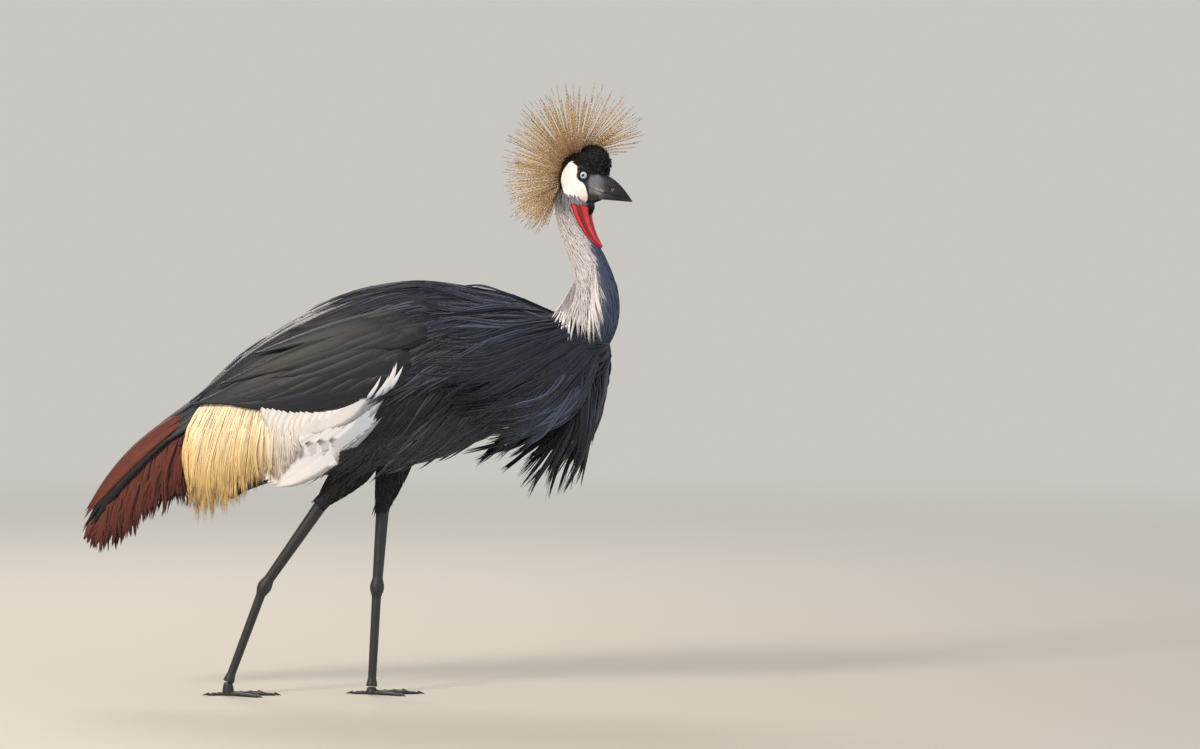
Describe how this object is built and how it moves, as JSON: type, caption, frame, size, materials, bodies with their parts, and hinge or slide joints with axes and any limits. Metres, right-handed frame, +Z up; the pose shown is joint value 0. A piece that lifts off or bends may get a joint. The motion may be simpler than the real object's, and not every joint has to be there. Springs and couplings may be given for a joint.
{
  "type": "grey crowned crane",
  "caption": "Life-size still model of a grey crowned crane in mid stride, with spined crest, red wattle, draped wings and long plumes.",
  "frame": {"origin": "on the ground, under the middle of the bird's box", "axes": "+X the way the bird faces, +Y to the bird's left, +Z up"},
  "size_m": [1.0618, 0.2582, 1.1229],
  "materials": {
    "black_velvet": "short dense black feathers, dull as velvet",
    "bare_white_skin": "bare matt skin",
    "bare_red_skin": "bare moist skin",
    "eye": "wet, clear",
    "horn": "smooth keratin",
    "straw_bristle": "stiff twisted bristles",
    "pale_grey_feather": "soft overlapping feathers",
    "slate_feather": "barbed vanes with a dull sheen",
    "slate_plume": "long loose plumes",
    "white_feather": "smooth barbed vanes",
    "straw_plume": "fine loose plumes",
    "chestnut_feather": "loose barbed vanes",
    "black_feather": "stiff barbed vanes",
    "leg_skin": "scaly skin"
  },
  "bodies": {
    "root": {"head": "black_velvet", "cap": "black_velvet", "cheek_right": "bare_white_skin", "cheek_left": "bare_white_skin", "eye_right": "eye", "eye_left": "eye", "bill_upper": "horn", "bill_lower": "horn", "crest": "straw_bristle", "wattle": "bare_red_skin", "neck_upper": "pale_grey_feather", "neck_middle": "pale_grey_feather", "neck_lower": "pale_grey_feather", "torso": "slate_feather", "flank_plumes_right": "slate_feather", "flank_plumes_left": "slate_feather", "scapulars_right": "slate_feather", "scapulars_left": "slate_feather", "thigh_right": "slate_feather", "thigh_left": "slate_feather", "breast_plumes": "slate_plume", "shoulder_plumes_right": "slate_plume", "shoulder_plumes_left": "slate_plume", "wing_right": "white_feather", "wing_left": "white_feather", "gold_plumes_right": "straw_plume", "gold_plumes_left": "straw_plume", "secondaries_right": "chestnut_feather", "secondaries_left": "chestnut_feather", "tail": "black_feather", "primaries_right": "black_feather", "primaries_left": "black_feather", "shank_right": "leg_skin", "ankle_right": "leg_skin", "tarsus_right": "leg_skin", "foot_right": "leg_skin", "toe_inner_right": "leg_skin", "toe_middle_right": "leg_skin", "toe_outer_right": "leg_skin", "toe_hind_right": "leg_skin", "shank_left": "leg_skin", "ankle_left": "leg_skin", "tarsus_left": "leg_skin", "foot_left": "leg_skin", "toe_inner_left": "leg_skin", "toe_middle_left": "leg_skin", "toe_outer_left": "leg_skin", "toe_hind_left": "leg_skin", "claw_inner_right": "horn", "claw_middle_right": "horn", "claw_outer_right": "horn", "claw_hind_right": "horn", "claw_inner_left": "horn", "claw_middle_left": "horn", "claw_outer_left": "horn", "claw_hind_left": "horn"}
  },
  "joints": []
}
